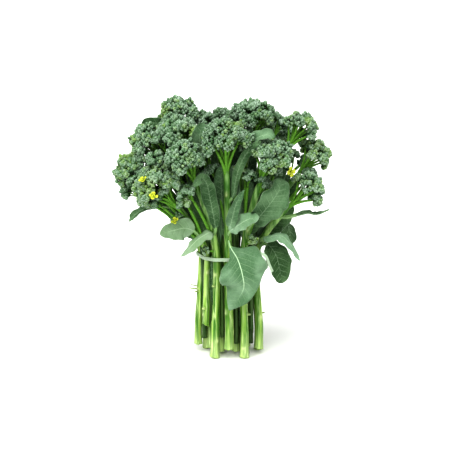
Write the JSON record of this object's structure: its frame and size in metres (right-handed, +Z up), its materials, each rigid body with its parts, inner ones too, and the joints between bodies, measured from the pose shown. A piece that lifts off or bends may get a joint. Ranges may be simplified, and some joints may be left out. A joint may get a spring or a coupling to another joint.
{
  "type": "bunch of sprouting broccoli",
  "caption": "Tied bunch of sprouting broccoli standing on its cut stems, with a wide crown of bud heads, grey-green leaves and a few yellow flowers.",
  "frame": {"origin": "on the surface the bunch stands on, under the middle of the bunch's width and depth", "axes": "+Z up along the stems, -Y towards the front, where the largest leaf hangs, +X to the right of it"},
  "size_m": [0.1868, 0.126, 0.227],
  "materials": {
    "stem": "satin",
    "bud": "matte",
    "leaf": "satin",
    "flower": "matte",
    "tie": "satin"
  },
  "bodies": {
    "root": {"stem_back_centre": "stem", "stem_back_left": "stem", "stem_back_right": "stem", "stem_far_left": "stem", "stem_front_centre": "stem", "stem_front_left": "stem", "stem_front_right": "stem", "stem_left": "stem", "stem_low_left": "stem", "stem_low_right": "stem", "stem_right": "stem", "stem_top_back": "stem", "stem_top_left": "stem", "stem_top_right": "stem", "stem_upper_left": "stem", "stem_upper_right": "stem", "head_back_centre": "bud", "head_back_left": "bud", "head_back_right": "bud", "head_far_left": "bud", "head_front_centre": "bud", "head_front_left": "bud", "head_front_right": "bud", "head_left": "bud", "head_low_left": "bud", "head_low_right": "bud", "head_right": "bud", "head_top_back": "bud", "head_top_left": "bud", "head_top_right": "bud", "head_upper_left": "bud", "head_upper_right": "bud", "side_shoot_front_left": "bud", "side_shoot_front_right": "bud", "side_shoot_left": "bud", "leaf_back_centre": "leaf", "leaf_back_left": "leaf", "leaf_back_right": "leaf", "leaf_centre_fan": "leaf", "leaf_centre_folded": "leaf", "leaf_centre_spear": "leaf", "leaf_crown_curl": "leaf", "leaf_crown_left": "leaf", "leaf_crown_long": "leaf", "leaf_crown_right": "leaf", "leaf_far_left_thin": "leaf", "leaf_far_right_thin": "leaf", "leaf_front_apron": "leaf", "leaf_left_arched": "leaf", "leaf_left_dark": "leaf", "leaf_left_flag": "leaf", "leaf_right_arched": "leaf", "leaf_right_broad": "leaf", "leaf_right_cupped": "leaf", "leaf_right_dark": "leaf", "flower_left": "flower", "flower_lower_left": "flower", "flower_right": "flower", "flower_upper_left": "flower", "tie": "tie"}
  },
  "joints": []
}
